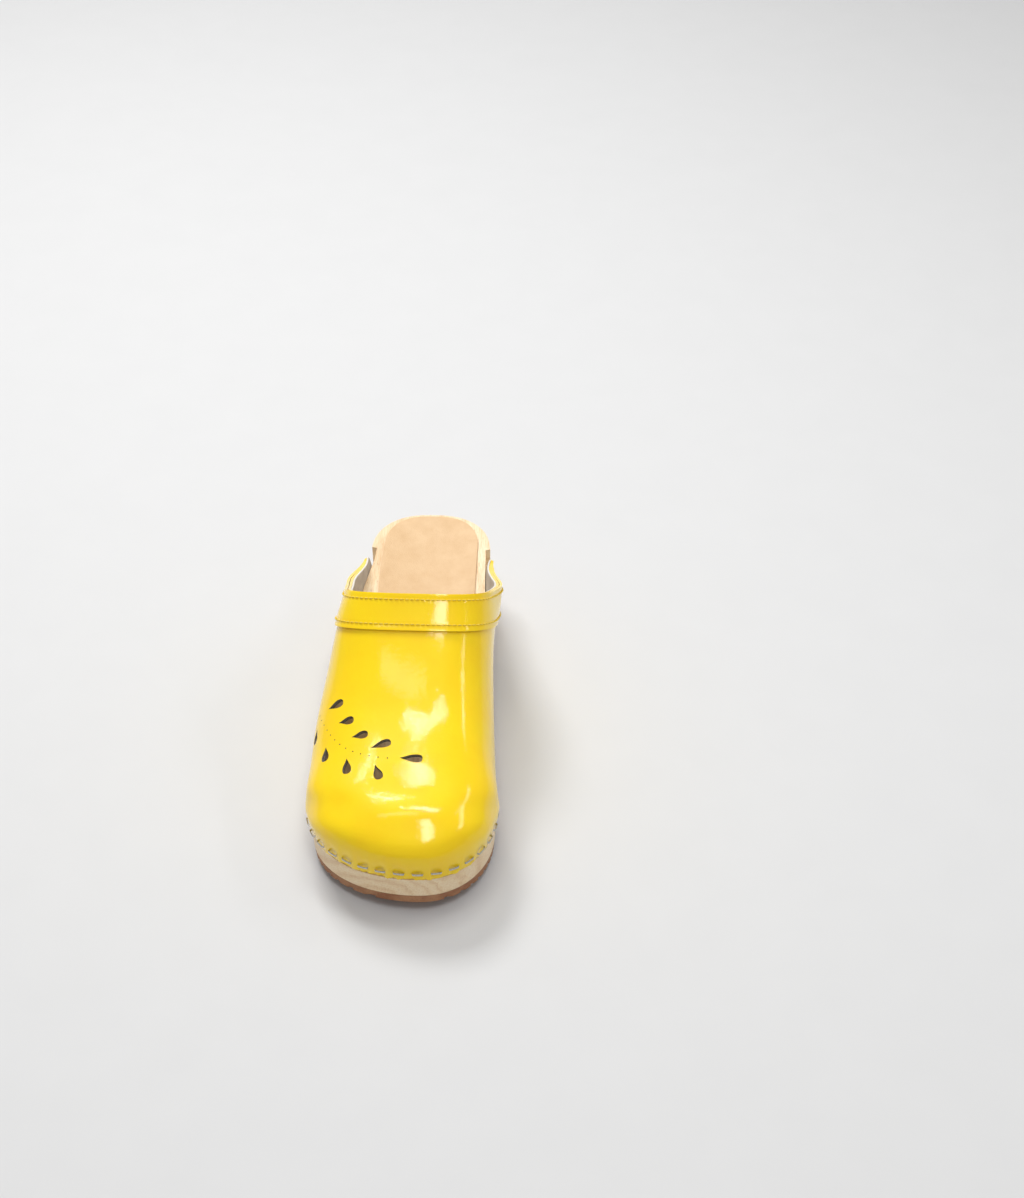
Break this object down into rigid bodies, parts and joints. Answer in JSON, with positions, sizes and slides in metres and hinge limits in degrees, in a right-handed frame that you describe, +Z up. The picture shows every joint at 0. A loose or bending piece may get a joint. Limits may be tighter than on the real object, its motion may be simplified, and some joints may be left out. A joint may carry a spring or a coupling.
{
  "type": "wooden clog",
  "caption": "Backless wooden clog for the right foot: carved wooden sole, stapled patent leather upper with leaf cut-outs, collar band and rubber treads.",
  "frame": {"origin": "on the floor, under the middle of the clog's bounding box", "axes": "+Y runs from toe to heel, +X towards the big-toe side, +Z up"},
  "size_m": [0.0983, 0.2562, 0.0959],
  "materials": {
    "wood": "fine-sanded pale alder, waxed",
    "rubber": "moulded tan crepe-like rubber, matte",
    "pad": "smooth tan sock leather, matte",
    "patent": "yellow patent leather, high gloss",
    "lining": "pale grey lining leather, matte",
    "stiffener": "impregnated toe stiffener cloth",
    "thread": "yellow sewing thread",
    "steel": "bright steel staple wire"
  },
  "bodies": {
    "root": {"wooden_sole": "wood", "heel_tread": "rubber", "forefoot_tread": "rubber", "heel_pad": "pad", "vamp_leather": "patent", "vamp_lining": "lining", "toe_stiffener": "stiffener", "collar_band": "patent", "stitching_upper": "thread", "stitching_lower": "thread", "staples": "steel"}
  },
  "joints": []
}
